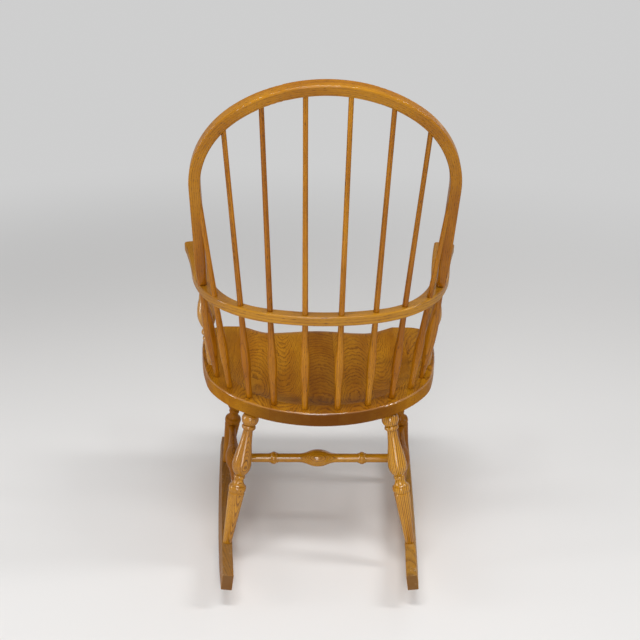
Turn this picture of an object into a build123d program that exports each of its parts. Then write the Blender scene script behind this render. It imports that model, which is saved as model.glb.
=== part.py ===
from build123d import *
import math
import os

# A hoop back rocking armchair. Millimetres, Z up, the sitter faces -Y, the floor is Z = 0.
# Every place on the seat is given in the seat's own sloping plane, and the same goes for
# the arm rail and for the hoop, whose origins lie on the chair's centre line.

os.makedirs("parts", exist_ok=True)

# Where the three main planes stand
REAR_PLANE_Y = 150.0
SEAT_TOP_Z = 394.9
SEAT_SLOPE = 1.7
RAIL_TOP_Z = 623.0
RAIL_SLOPE = 4.6
HOOP_BASE_AHEAD = 114.0
HOOP_BASE_Z = 632.2
HOOP_LEAN = 22.2

# Fits
SOCKET_GAP = 0.1
BLIND_GAP = 0.4
SCRIBE = 5.0

# Seat
SEAT_THICKNESS = 38.0
SEAT_BACK = 18.5
SEAT_FRONT = -397.0
SEAT_BACK_RADIUS, SEAT_BACK_TURN = 275.0, 58.0
SEAT_QUARTER_RADIUS, SEAT_QUARTER_TURN = 150.0, 17.6
SEAT_SIDE_RADIUS = 680.0
SEAT_CORNER_RADIUS = 52.0
SEAT_EASING = 4.0
SEAT_BEVEL_HEIGHT, SEAT_BEVEL_REACH = 8.0, 18.0
SEAT_SOCKET_DEPTH = 15.0
LEG_SOCKET_DEPTH = 18.0

# Saddle, the hollow carved in the seat
SADDLE_HALF_WIDTH = 212.0
SADDLE_CENTRE = -215.0
SADDLE_BACK_REACH = 201.0
SADDLE_BACK_DEPTH = 12.0
SADDLE_WALL = 75.0
THIGH_DEPTH = 11.5
THIGH_CENTRE = 113.0
THIGH_EDGE = 228.0
POMMEL_SHARE = 0.5
POMMEL_START, POMMEL_LENGTH = -230.0, 120.0
ROLL_LENGTH, ROLL_DROP = 34.0, 7.0
SADDLE_LIP = 8.0
SADDLE_GRID = 25
SADDLE_SPARE = 20.0

# Arm rail, seen from above in its own plane, left half
RAIL_THICKNESS = 21.0
RAIL_EASING = 3.0
RAIL_OUTER = [(0, 32.8), (107, 19.7), (207, -34.7), (261, -114), (279.5, -185), (309, -326)]
RAIL_INNER = [(0, 8.5), (118, -8), (200, -65), (237, -161), (264, -338)]
HAND_CORNER = 7.0
RAIL_SOCKET_DEPTH = 13.0

# Hoop, in its own leaning plane
HOOP_WIDTH = 22.5
HOOP_DEPTH = 24.0
HOOP_EASING = 3.5
HOOP_HALF_SPAN = 251.0
HOOP_HEIGHT = 486.5
HOOP_TOP_RADIUS, HOOP_TOP_HALF_TURN = 276.5, 36.4
HOOP_END_LENGTH = 60.0
HOOP_END_WIDTH, HOOP_END_DEPTH, HOOP_END_EASING = 17.5, 20.0, 7.0
HOOP_TENON, HOOP_TENON_DEPTH = 14.0, 10.0

# What the seat holds, by how far it is along the seat's edge from the middle of the back,
# or for the front legs from the front end of the side, and by how far it is in from the edge
SPINDLE_INSET = 20.0
LONG_FOOT_RUNS = [36.8, 109.8, 176.0, 242.5]
SHORT_FOOT_RUN = 305.5
POST_FOOT_RUN, POST_INSET = 371.8, 16.5
REAR_LEG_RUN, REAR_LEG_INSET = 169.0, 29.5
FRONT_LEG_RUN, FRONT_LEG_INSET = 54.494, 99.0

# Long spindles, with the tops of the left ones in the hoop's plane
LONG_TOPS = [(41.0, 482.0), (120.5, 457.0), (191.0, 406.0), (245.0, 234.0)]
LONG_FOOT, LONG_WAIST, LONG_SWELL, LONG_NECK, LONG_TIP = 13.0, 14.2, 19.2, 11.8, 9.8
LONG_TIP_LENGTH = 130.0
LONG_BULB_START, LONG_BULB_END = 54.0, 150.0

# Short spindles, under the ends of the hoop
SHORT_HEAD_ASIDE, SHORT_HEAD_AHEAD = 0.5, 3.0
SHORT_FOOT, SHORT_SWELL, SHORT_HEAD = 11.0, 24.8, 13.5
SHORT_HEAD_DEPTH = 8.0
SHORT_SWELL_AT = 114.0

# Arm posts, from the foot up: a taper, two beads and a vase
POST_HEAD_AT = (263.5, -251.0)
POST_FOOT, POST_NECK, POST_SMALL_BEAD, POST_BEAD, POST_VASE, POST_HEAD = 15.0, 20.5, 26.5, 29.5, 41.5, 16.0
POST_TAPER_LENGTH = 53.5
POST_SMALL_BEAD_LENGTH, POST_BEAD_LENGTH = 12.3, 16.4
POST_SWELL_AT = 117.0

# Legs, from the foot up: cone, groove, bell, scotia, collar, vase, ring and ball
REAR_FOOT_BEHIND, REAR_FOOT_Z = 6.8, 64.2
FRONT_FOOT_INSET, FRONT_FOOT_Z = 62.0, 62.0
LEG_FOOT, LEG_CONE, LEG_GROOVE, LEG_BELL, LEG_NECK = 19.5, 36.0, 33.0, 38.5, 21.0
LEG_COLLAR, LEG_VASE, LEG_RING, LEG_BALL_FOOT, LEG_BALL, LEG_TOP = 25.0, 42.0, 30.5, 25.0, 37.0, 27.0
LEG_CONE_LENGTH, LEG_GROOVE_LENGTH, LEG_BELL_LENGTH = 119.0, 5.0, 13.0
LEG_SCOTIA_LENGTH, LEG_COLLAR_LENGTH = 15.0, 10.0
LEG_SWELL_AT = 187.0
LEG_RING_LENGTH, LEG_BALL_LENGTH = 11.0, 26.0
LEG_TENON_TOP = 24.0
LEG_TENON_FOOT, LEG_TENON_FOOT_DEPTH = 14.5, 24.0

# Rockers, boards that lean with the legs and draw together to the rear
ROCKER_WIDTH = 23.0
ROCKER_RADIUS = 1150.0
ROCKER_LEAN = 9.0
ROCKER_TOE = 3.6
ROCKER_LOW_Y = -19.4
ROCKER_REACH = 302.0
ROCKER_FOOT_X = 202.9
ROCKER_END_DEPTH = 32.0
ROCKER_WAIST = 57.0
ROCKER_EASING = 1.2

# Stretchers
STRETCHER_Z = 174.0
SIDE_END, SIDE_SWELL = 16.0, 39.0
SIDE_TENON_DEPTH = 22.0
CROSS_SHAFT, CROSS_SWELL, CROSS_RING, CROSS_STEP, CROSS_TENON = 20.5, 40.5, 29.0, 23.0, 14.5
CROSS_SWELL_REACH = 46.0
CROSS_RING_AT, CROSS_RING_LENGTH, CROSS_STEP_LENGTH = 102.6, 14.0, 3.0
CROSS_TAPER_LENGTH, CROSS_TAPER_GAP = 6.0, 1.0
CROSS_TENON_DEPTH = 20.0

# How turned swells rise and fall: shares of the way along and of the swell
VASE_RISE = [(0, 0), (0.37, 0.65), (1, 1)]
LEG_VASE_FALL = [(0, 1), (0.195, 0.825), (0.377, 0.6), (0.636, 0.25), (1, 0)]
POST_VASE_FALL = [(0, 1), (0.134, 0.854), (0.299, 0.458), (0.588, 0.146), (1, 0)]
SCOTIA_FALL = [(0, 1), (0.33, 0.36), (1, 0)]
SHORT_RISE = [(0, 0), (0.245, 0.145), (0.47, 0.51), (1, 1)]
SHORT_FALL = [(0, 1), (0.553, 0.53), (0.766, 0.177), (1, 0)]
SIDE_RISE = [(0, 0), (0.435, 0.152), (0.725, 0.52), (1, 1)]
CROSS_FALL = [(0, 1), (0.22, 0.9), (0.435, 0.61), (0.67, 0.2), (1, 0)]


def sloped_plane(y, z, slope):
    """A plane through the centre line at (0, y, z) that rises towards the front by slope degrees."""
    angle = math.radians(slope)
    return Plane(origin=(0, y, z), x_dir=(1, 0, 0), z_dir=(0, math.sin(angle), math.cos(angle)))


def crossing(foot, head, plane):
    """The point where the line from foot to head goes through a plane."""
    reach = (plane.origin - foot).dot(plane.z_dir) / (head - foot).dot(plane.z_dir)
    return foot + (head - foot) * reach


def below(plane, distance):
    return plane.offset(-distance)


def mirrored(point, side):
    return Vector(side * point.X, point.Y, point.Z)


seat_top = sloped_plane(REAR_PLANE_Y, SEAT_TOP_Z, SEAT_SLOPE)
seat_under = below(seat_top, SEAT_THICKNESS)
rail_top = sloped_plane(REAR_PLANE_Y, RAIL_TOP_Z, RAIL_SLOPE)
rail_under = below(rail_top, RAIL_THICKNESS)
lean = math.radians(HOOP_LEAN)
hoop_plane = Plane(
    origin=(0, REAR_PLANE_Y - HOOP_BASE_AHEAD, HOOP_BASE_Z),
    x_dir=(1, 0, 0),
    z_dir=(0, -math.cos(lean), math.sin(lean)),
)
hoop_up = hoop_plane.y_dir


def on_rail_under(place):
    return rail_under.from_local_coords((*place, 0))


def on_hoop(place):
    return hoop_plane.from_local_coords((*place, 0))


# Turning: an outline of (distance from the foot, diameter) goes round the line foot to head


def lathe_plane(foot, head):
    axis = (head - foot).normalized()
    aside = Vector(0, 0, 1) if abs(axis.Z) < 0.5 else Vector(0, 1, 0)
    radial = axis.cross(aside).normalized()
    return Plane(origin=foot, x_dir=radial, z_dir=radial.cross(axis))


def lathe_points(stations):
    return [(diameter / 2, distance) for distance, diameter in stations]


def straight(*stations):
    Polyline(*lathe_points(stations))


def curved(*stations):
    """Arcs end to end, each through three stations: two ends and the one between them."""
    for first in range(0, len(stations) - 1, 2):
        ThreePointArc(*lathe_points(stations[first : first + 3]))


def spread(start, end, low, high, shape):
    """Stations between two distances and two diameters, from a shape's shares of each."""
    return [(start + (end - start) * along, low + (high - low) * swell) for along, swell in shape]


def turned(foot, head, stretches, start, end):
    """Draws the stretches, closes them on the axis between the start and end stations and spins them."""
    with BuildPart() as piece:
        with BuildSketch(lathe_plane(foot, head)):
            with BuildLine():
                stretches()
                Line((0, start[0]), (start[1] / 2, start[0]))
                Line((0, end[0]), (end[1] / 2, end[0]))
                Line((0, start[0]), (0, end[0]))
            make_face()
        revolve(axis=Axis(foot, head - foot))
    return piece


def rod(start, end, diameter, mode=Mode.ADD):
    """A round rod between two points, or with Mode.SUBTRACT a round hole."""
    with Locations(Plane(origin=start, z_dir=end - start)):
        Cylinder(
            diameter / 2,
            (end - start).length,
            align=(Align.CENTER, Align.CENTER, Align.MIN),
            mode=mode,
        )


def socket(mouth, bottom, diameter):
    """A blind hole from outside the mouth to a little past the bottom, wide enough for its tenon."""
    along = (bottom - mouth).normalized()
    rod(
        mouth - along * SCRIBE * 2,
        bottom + along * BLIND_GAP,
        diameter + 2 * SOCKET_GAP,
        mode=Mode.SUBTRACT,
    )


def save(piece, name):
    piece.part.label = name
    export_step(piece.part, f"parts/{name}.step")


SIDES = {"right": -1, "left": 1}

# Seat's edge, half of it, from the middle of the back to the front corner ---------------------

with BuildLine() as half_edge:
    back = JernArc((0, SEAT_BACK), (1, 0), SEAT_BACK_RADIUS, -SEAT_BACK_TURN)
    quarter = JernArc(back @ 1, back % 1, SEAT_QUARTER_RADIUS, -SEAT_QUARTER_TURN)
    side_turn = 90 - SEAT_BACK_TURN - SEAT_QUARTER_TURN
    flank = JernArc(quarter @ 1, quarter % 1, SEAT_SIDE_RADIUS, -side_turn)
    Line(flank @ 1, ((flank @ 1).X, SEAT_FRONT + SEAT_CORNER_RADIUS))
seat_edge = half_edge.wire()


def on_seat(run, inset):
    """The place on the seat's top a run along its edge and an inset in from it, on the left side."""
    at = seat_edge.position_at(run, position_mode=PositionMode.LENGTH)
    along = seat_edge.tangent_at(run, position_mode=PositionMode.LENGTH)
    return seat_top.from_local_coords(at + Vector(along.Y, -along.X) * inset)


# Lines that the pieces stand on -------------------------------------------------------------

rear_foot_y = REAR_PLANE_Y + REAR_FOOT_BEHIND
front_foot_y = REAR_PLANE_Y + SEAT_FRONT + FRONT_FOOT_INSET
rocker_lean = math.radians(ROCKER_LEAN)
rocker_toe = math.radians(ROCKER_TOE)
rocker_edge = ROCKER_WIDTH / 2 - ROCKER_EASING
rocker_lift = rocker_edge * math.sin(rocker_lean) + ROCKER_EASING * (1 - math.cos(rocker_lean))


def rocker_foot(y, z):
    """The middle of a rocker's board at a place y and z, on the left side of the chair."""
    x = ROCKER_FOOT_X + (rear_foot_y - y) * math.tan(rocker_toe)
    return Vector(x - (z - REAR_FOOT_Z) * math.tan(rocker_lean), y, z)


def leg_line(on_top, foot_y, foot_z):
    foot = rocker_foot(foot_y, foot_z)
    return foot, crossing(foot, on_top, seat_under)


rear_leg = leg_line(on_seat(REAR_LEG_RUN, REAR_LEG_INSET), rear_foot_y, REAR_FOOT_Z)
front_leg_run = seat_edge.length - FRONT_LEG_RUN
front_leg = leg_line(on_seat(front_leg_run, FRONT_LEG_INSET), front_foot_y, FRONT_FOOT_Z)
level = Plane(origin=(0, 0, STRETCHER_Z), z_dir=(0, 0, 1))
side_ends = (crossing(*front_leg, level), crossing(*rear_leg, level))
cross_end = (side_ends[0] + side_ends[1]) * 0.5

long_lines = [
    (on_seat(run, SPINDLE_INSET), on_hoop(top)) for run, top in zip(LONG_FOOT_RUNS, LONG_TOPS)
]
short_head_at = (HOOP_HALF_SPAN + SHORT_HEAD_ASIDE, -HOOP_BASE_AHEAD - SHORT_HEAD_AHEAD)
short_line = (on_seat(SHORT_FOOT_RUN, SPINDLE_INSET), on_rail_under(short_head_at))
post_line = (on_seat(POST_FOOT_RUN, POST_INSET), on_rail_under(POST_HEAD_AT))


def beyond(line, distance):
    """The point a distance past the second end of a line."""
    foot, head = line
    return head + (head - foot).normalized() * distance


# Blanks: the seat, rail and rockers before any hole is bored ---------------------------------


with BuildPart() as seat_blank:
    with BuildSketch(seat_top):
        with BuildLine():
            add(half_edge.line)
            corner = JernArc(seat_edge @ 1, (0, -1), SEAT_CORNER_RADIUS, -90)
            Line(corner @ 1, (0, SEAT_FRONT))
            mirror(about=Plane.YZ)
        make_face()
    extrude(amount=-SEAT_THICKNESS)
    top_face = seat_blank.faces().filter_by(seat_top).sort_by(Axis.Z)[-1]
    fillet(top_face.edges(), SEAT_EASING)
    under_face = seat_blank.faces().filter_by(seat_top).sort_by(Axis.Z)[0]
    chamfer(under_face.edges(), SEAT_BEVEL_REACH, SEAT_BEVEL_HEIGHT, reference=under_face)


with BuildPart() as rail_blank:
    with BuildSketch(rail_top):
        with BuildLine():
            for outline in (RAIL_OUTER, RAIL_INNER):
                heading = (1, 0)
                for start, end in zip(outline, outline[1:]):
                    heading = TangentArc(start, end, tangent=heading) % 1
            Line(RAIL_OUTER[-1], RAIL_INNER[-1])
            mirror(about=Plane.YZ)
        make_face()
    extrude(amount=-RAIL_THICKNESS)
    hand_corners = rail_blank.edges().filter_by(Axis((0, 0, 0), rail_top.z_dir))
    hand_corners = hand_corners.filter_by(lambda edge: abs(edge.center().X) > HOOP_HALF_SPAN)
    fillet(hand_corners, HAND_CORNER)
    flat_faces = rail_blank.faces().filter_by(rail_top)
    fillet(flat_faces.edges(), RAIL_EASING)


def rocker_plane(side):
    """The middle plane of a rocker: x to the rear, y up the board, from its lowest point."""
    low = rocker_foot(ROCKER_LOW_Y, rocker_lift)
    back = Vector(-side * math.sin(rocker_toe), math.cos(rocker_toe), 0)
    up = Vector(
        -side * math.cos(rocker_toe) * math.sin(rocker_lean),
        -math.sin(rocker_toe) * math.sin(rocker_lean),
        math.cos(rocker_lean),
    )
    return Plane(origin=mirrored(low, side), x_dir=back, z_dir=back.cross(up))


def rocker_end(reach):
    """The lower and upper corner of a rocker's end, a reach away from its lowest point."""
    turn = math.asin(reach / ROCKER_RADIUS)
    toe = Vector(reach, ROCKER_RADIUS * (1 - math.cos(turn)))
    return toe, toe + Vector(-math.sin(turn), math.cos(turn)) * ROCKER_END_DEPTH


def rocker_blank(side):
    board = rocker_plane(side)
    rear_seat = board.to_local_coords(mirrored(rear_leg[0], side))
    front_seat = board.to_local_coords(mirrored(front_leg[0], side))
    ahead = ROCKER_REACH**2 / (2 * ROCKER_RADIUS) * math.sin(rocker_lean) * math.sin(rocker_toe)
    rear_toe, rear_top = rocker_end((ROCKER_REACH - ROCKER_LOW_Y + ahead) / math.cos(rocker_toe))
    front_toe, front_top = rocker_end(-(ROCKER_REACH + ROCKER_LOW_Y - ahead) / math.cos(rocker_toe))
    waist = ((rear_seat.X + front_seat.X) / 2, ROCKER_WAIST)
    with BuildPart() as blank:
        with BuildSketch(board):
            with BuildLine():
                ThreePointArc(front_toe, (0, 0), rear_toe)
                Line(rear_toe, rear_top)
                Spline(
                    rear_top,
                    (rear_seat.X, rear_seat.Y),
                    waist,
                    (front_seat.X, front_seat.Y),
                    front_top,
                )
                Line(front_top, front_toe)
            make_face()
        extrude(amount=ROCKER_WIDTH / 2, both=True)
        fillet(blank.edges(), ROCKER_EASING)
    return blank


rocker_blanks = {name: rocker_blank(side) for name, side in SIDES.items()}

# Seat ----------------------------------------------------------------------------------------


def ease(share):
    """Goes smoothly from 1 at share 0 to 0 at share 1 and stays there."""
    return math.cos(math.pi / 2 * min(max(share, 0), 1)) ** 2


def saddle_depth(x, y):
    """How far the carved surface lies below the seat's flat top, less than nothing outside it."""
    behind = max(y - SADDLE_CENTRE, 0) / SADDLE_BACK_REACH
    radius = math.hypot(x / SADDLE_HALF_WIDTH, behind)
    inside = (1 - radius) * SADDLE_BACK_REACH
    wall = 1 - max(1 - inside / SADDLE_WALL, 0) ** 2
    back = max(SADDLE_BACK_DEPTH * wall, -SADDLE_LIP)
    thigh = ease((abs(x) - THIGH_CENTRE) / (THIGH_EDGE - THIGH_CENTRE))
    front = (THIGH_DEPTH + SADDLE_LIP) * thigh - SADDLE_LIP
    towards_front = 1 - ease((SADDLE_CENTRE - y) / (SADDLE_CENTRE - SEAT_FRONT))
    along = 1 - ease((POMMEL_START - y) / POMMEL_LENGTH)
    pommel = POMMEL_SHARE * ease(abs(x) / THIGH_CENTRE) * along
    roll = ROLL_DROP * thigh * (max(SEAT_FRONT + ROLL_LENGTH - y, 0) / ROLL_LENGTH) ** 2
    return (back + (front - back) * towards_front) * (1 - pommel) + roll


def saddle_cutter():
    """The block of wood that carving takes away: a smooth surface with everything above it."""
    half_width = SADDLE_HALF_WIDTH + 2 * SADDLE_SPARE
    front = SEAT_FRONT - SADDLE_SPARE
    back = SADDLE_CENTRE + SADDLE_BACK_REACH + SADDLE_SPARE
    steps = [index / (SADDLE_GRID - 1) for index in range(SADDLE_GRID)]
    rows = []
    for along in steps:
        y = front + (back - front) * along
        row = []
        for across in steps:
            x = half_width * (2 * across - 1)
            row.append(seat_top.from_local_coords((x, y, -saddle_depth(x, y))))
        rows.append(row)
    surface = Face.make_surface_from_array_of_points(rows)
    return Solid.extrude(surface, seat_top.z_dir * SEAT_THICKNESS)


with BuildPart() as seat:
    add(seat_blank.part)
    add(saddle_cutter(), mode=Mode.SUBTRACT)
    for side in SIDES.values():
        for line in long_lines:
            foot, head = (mirrored(end, side) for end in line)
            socket(foot, beyond((head, foot), SEAT_SOCKET_DEPTH), LONG_FOOT)
        foot, head = (mirrored(end, side) for end in short_line)
        socket(foot, beyond((head, foot), SEAT_SOCKET_DEPTH), SHORT_FOOT)
        foot, head = (mirrored(end, side) for end in post_line)
        socket(foot, beyond((head, foot), SEAT_SOCKET_DEPTH), POST_FOOT)
        for line in (rear_leg, front_leg):
            foot, head = (mirrored(end, side) for end in line)
            socket(head, beyond((foot, head), LEG_SOCKET_DEPTH), LEG_TENON_TOP)
save(seat, "seat")

# Arm rail ------------------------------------------------------------------------------------

hoop_foot = on_hoop((HOOP_HALF_SPAN, 0))
hoop_tenon_end = hoop_foot - hoop_up * HOOP_TENON_DEPTH

with BuildPart() as arm_rail:
    add(rail_blank.part)
    for side in SIDES.values():
        for line in long_lines:
            foot, head = (mirrored(end, side) for end in line)
            through = crossing(foot, head, rail_top)
            under = crossing(foot, head, rail_under)
            rod(
                beyond((through, under), SCRIBE),
                beyond((under, through), SCRIBE),
                LONG_NECK + 2 * SOCKET_GAP,
                mode=Mode.SUBTRACT,
            )
        foot, head = (mirrored(end, side) for end in short_line)
        socket(head, beyond((foot, head), SHORT_HEAD_DEPTH), SHORT_HEAD)
        foot, head = (mirrored(end, side) for end in post_line)
        socket(head, beyond((foot, head), RAIL_SOCKET_DEPTH), POST_HEAD)
        socket(mirrored(hoop_foot, side), mirrored(hoop_tenon_end, side), HOOP_TENON)
save(arm_rail, "arm_rail")

# Back hoop -----------------------------------------------------------------------------------

shoulder_turn = 90 - HOOP_TOP_HALF_TURN
top_turn = math.radians(HOOP_TOP_HALF_TURN)
top_reach = HOOP_TOP_RADIUS * math.sin(top_turn)
hoop_shoulder_radius = (HOOP_HALF_SPAN - top_reach) / (1 - math.sin(top_turn))
shoulder_fall = hoop_shoulder_radius * math.cos(top_turn)
leg_height = HOOP_HEIGHT - HOOP_TOP_RADIUS * (1 - math.cos(top_turn)) - shoulder_fall


def hoop_station(height, side):
    """The plane across one leg of the hoop at a height above its foot."""
    return Plane(origin=on_hoop((side * HOOP_HALF_SPAN, height)), x_dir=(1, 0, 0), z_dir=hoop_up)


with BuildPart() as back_hoop:
    with BuildLine(hoop_plane) as bow:
        rise = Line((HOOP_HALF_SPAN, HOOP_END_LENGTH), (HOOP_HALF_SPAN, leg_height))
        first = JernArc(rise @ 1, rise % 1, hoop_shoulder_radius, shoulder_turn)
        crown = JernArc(first @ 1, first % 1, HOOP_TOP_RADIUS, 2 * HOOP_TOP_HALF_TURN)
        second = JernArc(crown @ 1, crown % 1, hoop_shoulder_radius, shoulder_turn)
        Line(second @ 1, (-HOOP_HALF_SPAN, HOOP_END_LENGTH))
    with BuildSketch(hoop_station(HOOP_END_LENGTH, 1)):
        RectangleRounded(HOOP_WIDTH, HOOP_DEPTH, HOOP_EASING)
    sweep(path=bow.wire())
    for side in SIDES.values():
        with BuildSketch(hoop_station(HOOP_END_LENGTH, side)):
            RectangleRounded(HOOP_WIDTH, HOOP_DEPTH, HOOP_EASING)
        with BuildSketch(hoop_station(-2 * SCRIBE, side)):
            RectangleRounded(HOOP_END_WIDTH, HOOP_END_DEPTH, HOOP_END_EASING)
        loft()
    add(rail_blank.part, mode=Mode.SUBTRACT)
    for side in SIDES.values():
        rod(mirrored(hoop_foot + hoop_up * SCRIBE, side), mirrored(hoop_tenon_end, side), HOOP_TENON)
        for line in long_lines:
            foot, head = (mirrored(end, side) for end in line)
            socket(beyond((foot, head), -LONG_TIP_LENGTH / 2), head, LONG_TIP)
save(back_hoop, "back_hoop")

# Spindles ------------------------------------------------------------------------------------


def long_spindle(line, side):
    foot, head = (mirrored(end, side) for end in line)
    length = (head - foot).length
    under = (crossing(foot, head, rail_under) - foot).length
    through = (crossing(foot, head, rail_top) - foot).length
    bulb = (LONG_BULB_START + LONG_BULB_END) / 2

    def stretches():
        straight((-SEAT_SOCKET_DEPTH, LONG_FOOT), (0, LONG_FOOT), (LONG_BULB_START, LONG_WAIST))
        curved((LONG_BULB_START, LONG_WAIST), (bulb, LONG_SWELL), (LONG_BULB_END, LONG_WAIST))
        straight(
            (LONG_BULB_END, LONG_WAIST),
            (under - SCRIBE, LONG_NECK),
            (through + SCRIBE, LONG_NECK),
            (length - LONG_TIP_LENGTH, LONG_TIP),
            (length, LONG_TIP),
        )

    return turned(foot, head, stretches, (-SEAT_SOCKET_DEPTH, LONG_FOOT), (length, LONG_TIP))


spindle_number = 0
for side_name, order in (("right", reversed(long_lines)), ("left", long_lines)):
    for line in order:
        spindle_number += 1
        save(long_spindle(line, SIDES[side_name]), f"long_spindle_{spindle_number}")


def short_spindle(side):
    foot, head = (mirrored(end, side) for end in short_line)
    length = (head - foot).length
    rise = spread(0, SHORT_SWELL_AT, SHORT_FOOT, SHORT_SWELL, SHORT_RISE)
    fall = spread(SHORT_SWELL_AT, length, SHORT_HEAD, SHORT_SWELL, SHORT_FALL)

    def stretches():
        straight((-SEAT_SOCKET_DEPTH, SHORT_FOOT), (0, SHORT_FOOT))
        curved(*rise, *fall[1:])
        straight((length, SHORT_HEAD), (length + SHORT_HEAD_DEPTH, SHORT_HEAD))

    end = (length + SHORT_HEAD_DEPTH, SHORT_HEAD)
    return turned(foot, head, stretches, (-SEAT_SOCKET_DEPTH, SHORT_FOOT), end)


for side_name, side in SIDES.items():
    save(short_spindle(side), f"short_spindle_{side_name}")

# Arm posts -----------------------------------------------------------------------------------


def arm_post(side):
    foot, head = (mirrored(end, side) for end in post_line)
    length = (head - foot).length
    small = POST_TAPER_LENGTH
    bead = small + POST_SMALL_BEAD_LENGTH
    vase = bead + POST_BEAD_LENGTH

    def stretches():
        straight((-SEAT_SOCKET_DEPTH, POST_FOOT), (0, POST_FOOT), (small, POST_NECK))
        curved((small, POST_NECK), ((small + bead) / 2, POST_SMALL_BEAD), (bead, POST_NECK))
        curved((bead, POST_NECK), ((bead + vase) / 2, POST_BEAD), (vase, POST_NECK))
        curved(*spread(vase, POST_SWELL_AT, POST_NECK, POST_VASE, VASE_RISE))
        curved(*spread(POST_SWELL_AT, length, POST_HEAD, POST_VASE, POST_VASE_FALL))
        straight((length, POST_HEAD), (length + RAIL_SOCKET_DEPTH, POST_HEAD))

    end = (length + RAIL_SOCKET_DEPTH, POST_HEAD)
    return turned(foot, head, stretches, (-SEAT_SOCKET_DEPTH, POST_FOOT), end)


for side_name, side in SIDES.items():
    save(arm_post(side), f"arm_post_{side_name}")

# Legs ----------------------------------------------------------------------------------------


def leg_stretches(length):
    bell = LEG_CONE_LENGTH + LEG_GROOVE_LENGTH
    scotia = bell + LEG_BELL_LENGTH
    collar = scotia + LEG_SCOTIA_LENGTH
    vase = collar + LEG_COLLAR_LENGTH
    ball = length - LEG_BALL_LENGTH
    ring = ball - LEG_RING_LENGTH
    groove = LEG_CONE_LENGTH + LEG_GROOVE_LENGTH / 2

    def stretches():
        straight((-SCRIBE, LEG_FOOT), (0, LEG_FOOT), (LEG_CONE_LENGTH, LEG_CONE))
        straight((LEG_CONE_LENGTH, LEG_CONE), (groove, LEG_GROOVE), (bell, LEG_CONE))
        curved((bell, LEG_CONE), ((bell + scotia) / 2, LEG_BELL), (scotia, LEG_CONE))
        curved(*spread(scotia, collar, LEG_NECK, LEG_CONE, SCOTIA_FALL))
        curved((collar, LEG_NECK), ((collar + vase) / 2, LEG_COLLAR), (vase, LEG_NECK))
        curved(*spread(vase, LEG_SWELL_AT, LEG_NECK, LEG_VASE, VASE_RISE))
        curved(*spread(LEG_SWELL_AT, ring, LEG_NECK, LEG_VASE, LEG_VASE_FALL))
        curved((ring, LEG_NECK), ((ring + ball) / 2, LEG_RING), (ball, LEG_BALL_FOOT))
        curved((ball, LEG_BALL_FOOT), ((ball + length) / 2, LEG_BALL), (length, LEG_TOP))
        straight((length, LEG_TOP), (length + SCRIBE, LEG_TOP))

    return stretches


def leg(line, side, rocker, socket_mouth, socket_bottom):
    """A turned leg, scribed to the seat above and the rocker below, with the side stretcher's socket."""
    foot, head = (mirrored(end, side) for end in line)
    length = (head - foot).length
    ends = (-SCRIBE, LEG_FOOT), (length + SCRIBE, LEG_TOP)
    turning = turned(foot, head, leg_stretches(length), *ends)
    with BuildPart() as whole:
        add(turning.part)
        add(rocker.part, mode=Mode.SUBTRACT)
        add(seat_blank.part, mode=Mode.SUBTRACT)
        rod(beyond((foot, head), -SCRIBE), beyond((foot, head), LEG_SOCKET_DEPTH), LEG_TENON_TOP)
        rod(beyond((head, foot), -SCRIBE), beyond((head, foot), LEG_TENON_FOOT_DEPTH), LEG_TENON_FOOT)
        socket(socket_mouth, socket_bottom, SIDE_END)
    return whole


def side_sockets(side):
    front, rear = (mirrored(end, side) for end in side_ends)
    return front, rear, (rear - front).normalized()


for side_name, side in SIDES.items():
    front, rear, along = side_sockets(side)
    buried = along * (SIDE_TENON_DEPTH - LEG_CONE / 2)
    mouth = along * (LEG_CONE / 2)
    rocker = rocker_blanks[side_name]
    save(leg(rear_leg, side, rocker, rear - mouth, rear + buried), f"rear_leg_{side_name}")
    save(leg(front_leg, side, rocker, front + mouth, front - buried), f"front_leg_{side_name}")

# Stretchers ----------------------------------------------------------------------------------


def side_stretcher(side):
    front, rear, _ = side_sockets(side)
    length = (rear - front).length
    middle = length / 2
    buried = SIDE_TENON_DEPTH - LEG_CONE / 2

    rise = spread(LEG_CONE / 2, middle, SIDE_END, SIDE_SWELL, SIDE_RISE)
    fall = spread(length - LEG_CONE / 2, middle, SIDE_END, SIDE_SWELL, SIDE_RISE)

    def stretches():
        straight((-buried, SIDE_END), (LEG_CONE / 2, SIDE_END))
        curved(*rise, *fall[-2::-1])
        straight((length - LEG_CONE / 2, SIDE_END), (length + buried, SIDE_END))

    return turned(front, rear, stretches, (-buried, SIDE_END), (length + buried, SIDE_END))


for side_name, side in SIDES.items():
    mouth = mirrored(cross_end, side) - Vector(side * SIDE_SWELL / 2, 0, 0)
    bottom = mouth + Vector(side * CROSS_TENON_DEPTH, 0, 0)
    turning = side_stretcher(side)
    with BuildPart() as stretcher:
        add(turning.part)
        socket(mouth, bottom, CROSS_TENON)
    save(stretcher, f"side_stretcher_{side_name}")


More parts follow.
